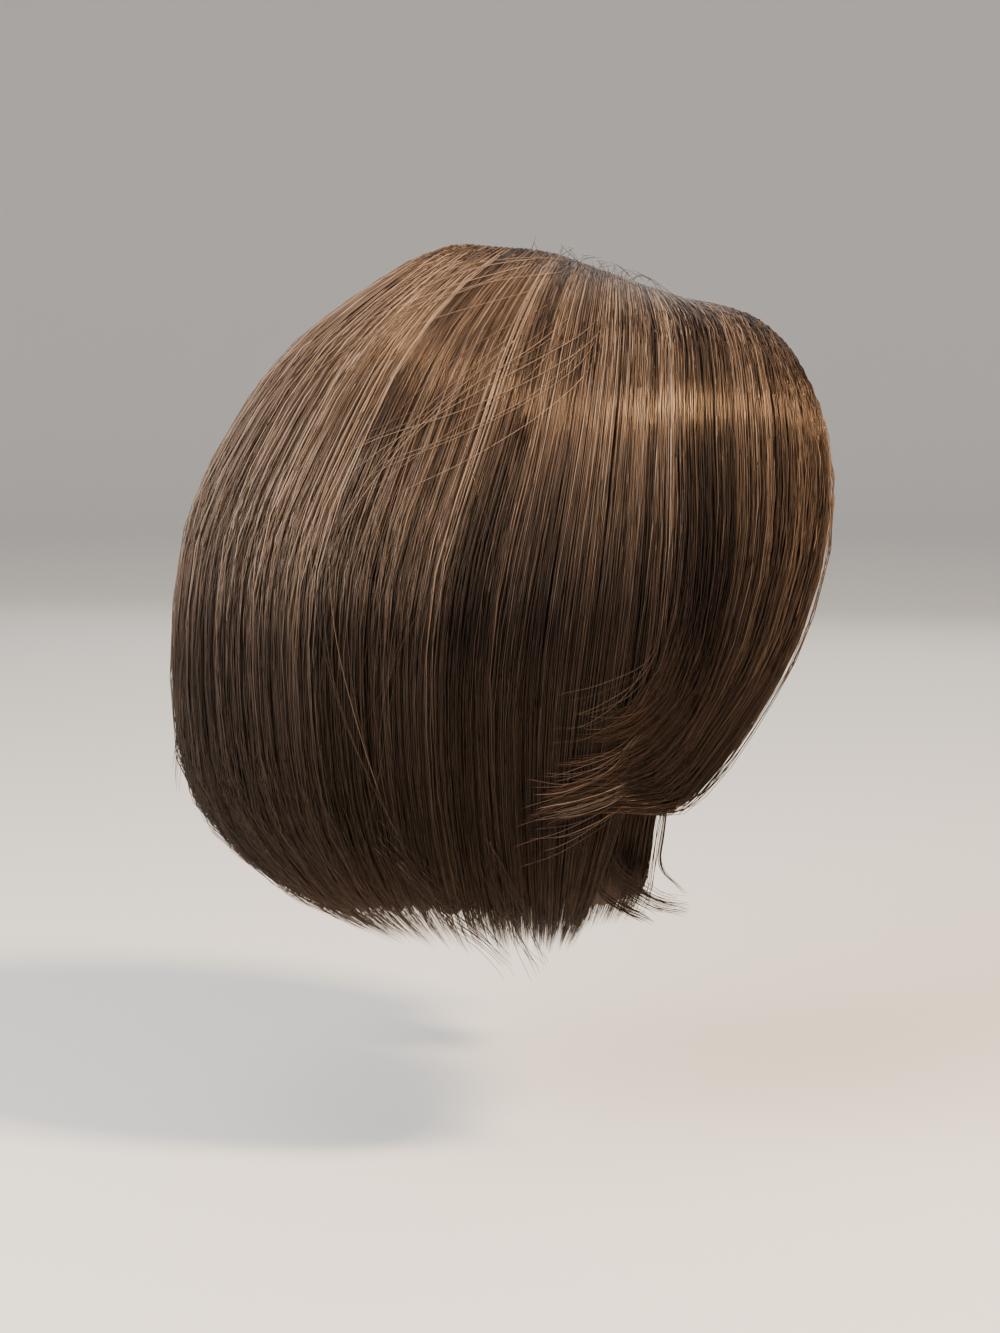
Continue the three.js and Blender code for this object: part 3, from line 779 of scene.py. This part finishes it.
# Loose strands: hairs of the same fibre that brushing left across the others, wisps at the hem, and the
# tips that flick forward at the jaw. Each row has stations from root to tip, which are an azimuth and a
# polar angle in degrees and a height in millimetres, and a width in millimetres over which it spreads.
LOOSE = (
    {"count": 7, "width": 20.0, "shade": 0.88,
     "at": ((62, 34, -2), (82, 46, 0.4), (104, 58, 0.6), (124, 69, 0.3))},
    {"count": 7, "width": 22.0, "shade": 0.86,
     "at": ((66, 26, -2), (92, 41, 0.4), (110, 56, 0.6), (122, 73, 0.2))},
    {"count": 8, "width": 24.0, "shade": 0.84,
     "at": ((62, 16, -2), (96, 25, 0.3), (124, 36, 0.5), (142, 50, 0.2))},
    {"count": 6, "width": 60.0, "shade": 0.52,
     "at": ((121, 62, -1), (116, 82, 0.4), (111, 100, 0.5), (107, 114, 0.3))},
    {"count": 8, "width": 60.0, "shade": 0.52,
     "at": ((104, 64, -1), (107, 84, 0.4), (111, 102, 0.5), (116, 116, 0.3))},
    {"count": 12, "width": 22.0, "shade": 0.5,
     "at": ((-35, 25, -1.5), (-10, 23, 1.4), (18, 26, 1.8), (38, 38, 0.4))},
    {"count": 12, "width": 22.0, "shade": 0.5,
     "at": ((-60, 15, -1.5), (-10, 12, 1.6), (50, 18, 1.8), (64, 32, 0.4))},
    {"count": 34, "width": 4.6, "shade": 0.36,
     "at": ((73, 123, -5.6), (69, 131, -2.4), (60, 134, 4.4), (51, 134, 12))},
    {"count": 34, "width": 4.0, "shade": 0.36,
     "at": ((77, 125, -3.5), (73, 132, 0), (66, 135, 3.6), (58, 137, 8.5))},
    {"count": 9, "width": 2.4, "shade": 0.42,
     "at": ((60, 112, -6), (59, 124, -4), (58, 130, -0.5), (51, 133, 8))},
    {"count": 16, "width": 16.0, "shade": 0.4,
     "at": ((98, 122, 0.5), (93, 133, 2), (89, 142, 3.5), (84, 148, 8))},
    {"count": 16, "width": 16.0, "shade": 0.4,
     "at": ((116, 122, 0.5), (107, 134, 1.5), (99, 142, 2.5), (93, 149, 6))},
    {"count": 6, "width": 5.0, "shade": 0.5,
     "at": ((158, 88, 0), (161, 100, 0.5), (163, 110, 2), (164, 117, 6))},
    {"count": 9, "width": 13.0, "shade": 0.6,
     "at": ((64, 88, -3), (70, 98, 1.6), (78, 102, 3), (87, 103, 2.2))},
    {"count": 14, "width": 13.0, "shade": 0.62,
     "at": ((64, 102, -3), (73, 109, 2), (82, 112, 3), (91, 113, 2.2))},
    {"count": 14, "width": 4.0, "shade": 0.73,
     "at": ((64, 111.5, -3), (72, 114.4, 1.8), (80, 116.4, 2.6), (89, 118, 2.2))},
    {"count": 8, "width": 9.0, "shade": 0.6,
     "at": ((65, 112.5, -3), (73, 116.5, 1.6), (82, 120, 2.4), (92, 122.5, 2))},
    {"count": 9, "width": 13.0, "shade": 0.6,
     "at": ((-64, 88, -3), (-70, 98, 1.6), (-78, 102, 3), (-87, 103, 2.2))},
    {"count": 16, "width": 13.0, "shade": 0.62,
     "at": ((-65, 104, -3), (-74, 112, 2), (-83, 115, 3), (-91, 115, 2.2))},
    {"count": 30, "width": 4.4, "shade": 0.36,
     "at": ((-75, 124, -4), (-71, 131, -1), (-63, 135, 4), (-54, 136, 10))},
    {"count": 8, "width": 9.0, "shade": 0.82,
     "at": ((-80, 30, -2), (-96, 46, 0.4), (-112, 60, 0.6), (-124, 76, 0.3))},
)
LOOSE_RINGS = 16
LOOSE_START = 0.25
LOOSE_REACH = (0.78, 1.0)
LOOSE_WIDTHS = (0.00018, 0.0003)
LOOSE_HEIGHTS = (-0.0002, 0.0006)


def loose_strands(name, rows, seed):
    rng = np.random.default_rng(seed)
    lines = []
    shades = []
    for row in rows:
        at = np.array(row["at"], float)
        stations = np.concatenate([on_map(at[:, 0], at[:, 1]), at[:, 2:] / 1000], axis=1)
        for _ in range(row["count"]):
            start = rng.uniform(0, LOOSE_START)
            share = start + (rng.uniform(*LOOSE_REACH) - start) * np.linspace(0, 1, LOOSE_RINGS)
            line = smooth_at(stations, share)
            # A degree on the map is about two millimetres on the hair.
            bend = rng.normal(0, 0.5, (3, 2)) * row["width"] / 4
            line[:, :2] += bend[0] + bend[1] * share[:, None] + bend[2] * np.sin(3 * share)[:, None]
            line[:, 2] += rng.uniform(*LOOSE_HEIGHTS)
            lines.append(line)
            shades.append(np.clip(row["shade"] + rng.normal(0, 0.07), 0.05, 0.98))
    lines = np.array(lines)
    azimuth = np.degrees(np.arctan2(lines[..., 1], lines[..., 0]))
    polar = np.hypot(lines[..., 0], lines[..., 1])
    centres = at_depth(HAIR, azimuth, polar, -lines[..., 2])
    along = np.linspace(0, 1, LOOSE_RINGS) + np.zeros((len(lines), 1))
    widths = rng.uniform(*LOOSE_WIDTHS, len(lines))
    return fuse_hair(name, centres, widths, np.array(shades)[:, None] + 0 * along, along)


strays = loose_strands("loose_strands", LOOSE, 61)
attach(strays, "root")

# The floor: a pale plain sheet that sweeps up far behind on every side, as in a studio. The wig keeps
# the height above it that it has when worn.
FLOOR_LEVEL = -0.295
FLOOR_REACH = 2.6
SWEEP_UP = 1.6
WALL_HEIGHT = 2.6
FLOOR_SIDES = 96
SWEEP_STEPS = 12
profile = [(0.0, 0.0), (FLOOR_REACH, 0.0)]
for turn in np.radians(np.linspace(90 / SWEEP_STEPS, 90, SWEEP_STEPS)):
    profile.append((FLOOR_REACH + SWEEP_UP * math.sin(turn), SWEEP_UP * (1 - math.cos(turn))))
profile.append((FLOOR_REACH + SWEEP_UP, WALL_HEIGHT))
turns = np.linspace(0, 2 * math.pi, FLOOR_SIDES, endpoint=False)
points = [(0.0, 0.0, FLOOR_LEVEL)]
for reach, height in profile[1:]:
    points += [(reach * math.cos(turn), reach * math.sin(turn), FLOOR_LEVEL + height) for turn in turns]
faces = [(0, 1 + i, 1 + (i + 1) % FLOOR_SIDES) for i in range(FLOOR_SIDES)]
for ring in range(len(profile) - 2):
    for i in range(FLOOR_SIDES):
        a = 1 + ring * FLOOR_SIDES + i
        b = 1 + ring * FLOOR_SIDES + (i + 1) % FLOOR_SIDES
        faces.append((a, a + FLOOR_SIDES, b + FLOOR_SIDES, b))
floor_mesh = bpy.data.meshes.new("floor")
floor_mesh.from_pydata(points, [], faces)
floor_mesh.polygons.foreach_set("use_smooth", np.ones(len(floor_mesh.polygons), bool))
floor = bpy.data.objects.new("floor", floor_mesh)
bpy.context.collection.objects.link(floor)
pale = bpy.data.materials.new("pale floor")
pale.use_nodes = True
pale.node_tree.nodes["Principled BSDF"].inputs["Base Color"].default_value = (0.68, 0.68, 0.68, 1)
pale.node_tree.nodes["Principled BSDF"].inputs["Roughness"].default_value = 0.8
pale.node_tree.nodes["Principled BSDF"].inputs["Specular IOR Level"].default_value = 0.2
floor_mesh.materials.append(pale)

# The light: a pale room, a warm lamp high in front, whose shine makes the copper band over the strands,
# and fainter or broader ones over the crown, behind the back and on the far side.
world = bpy.data.worlds.new("studio")
world.use_nodes = True
world.node_tree.nodes["Background"].inputs["Color"].default_value = (0.96, 0.98, 1.0, 1)
world.node_tree.nodes["Background"].inputs["Strength"].default_value = 0.45
bpy.context.scene.world = world
LAMPS = (
    {"name": "key", "at": (-0.55, -0.72, 0.9), "size": 0.22, "power": 52, "colour": (1.0, 0.71, 0.43)},
    {"name": "crown", "at": (-0.3, 0.35, 1.1), "size": 0.45, "power": 4, "colour": (1.0, 0.84, 0.68)},
    {"name": "back", "at": (-0.85, 1.05, 0.5), "size": 1.1, "power": 53, "colour": (1.0, 0.97, 0.94)},
    {"name": "far_side", "at": (1.1, -0.2, 0.6), "size": 1.6, "power": 8, "colour": (1.0, 0.94, 0.88)},
)
WIG_MIDDLE = Vector((0, 0, -0.108))
for row in LAMPS:
    lamp = bpy.data.lights.new(row["name"], "AREA")
    lamp.size = row["size"]
    lamp.energy = row["power"]
    lamp.color = row["colour"]
    holder = bpy.data.objects.new(row["name"], lamp)
    holder.location = row["at"]
    holder.rotation_euler = (WIG_MIDDLE - Vector(row["at"])).to_track_quat("-Z", "Y").to_euler()
    bpy.context.collection.objects.link(holder)

# The camera: square to the wearer's right side and a little above it, a metre off. Its lens is worked
# out from the size of a picture pixel at the wig, and it aims a little off the wig's middle.
PICTURE_HIGH = 1333
SENSOR = 36.0
VIEW_TILT = math.radians(7.5)
VIEW_DISTANCE = 1.0
METRES_PER_PIXEL = 0.00035
OFF_MIDDLE = (23, 66.5)
look = Vector((math.cos(VIEW_TILT), 0, -math.sin(VIEW_TILT)))
right = Vector((0, -1, 0))
up = right.cross(look)
aim = WIG_MIDDLE - right * OFF_MIDDLE[0] * METRES_PER_PIXEL - up * OFF_MIDDLE[1] * METRES_PER_PIXEL
camera = bpy.data.cameras.new("camera")
camera.sensor_width = SENSOR
camera.lens = VIEW_DISTANCE / METRES_PER_PIXEL * SENSOR / PICTURE_HIGH
viewer = bpy.data.objects.new("camera", camera)
viewer.location = aim - look * VIEW_DISTANCE
viewer.rotation_euler = look.to_track_quat("-Z", "Y").to_euler()
bpy.context.collection.objects.link(viewer)
bpy.context.scene.camera = viewer
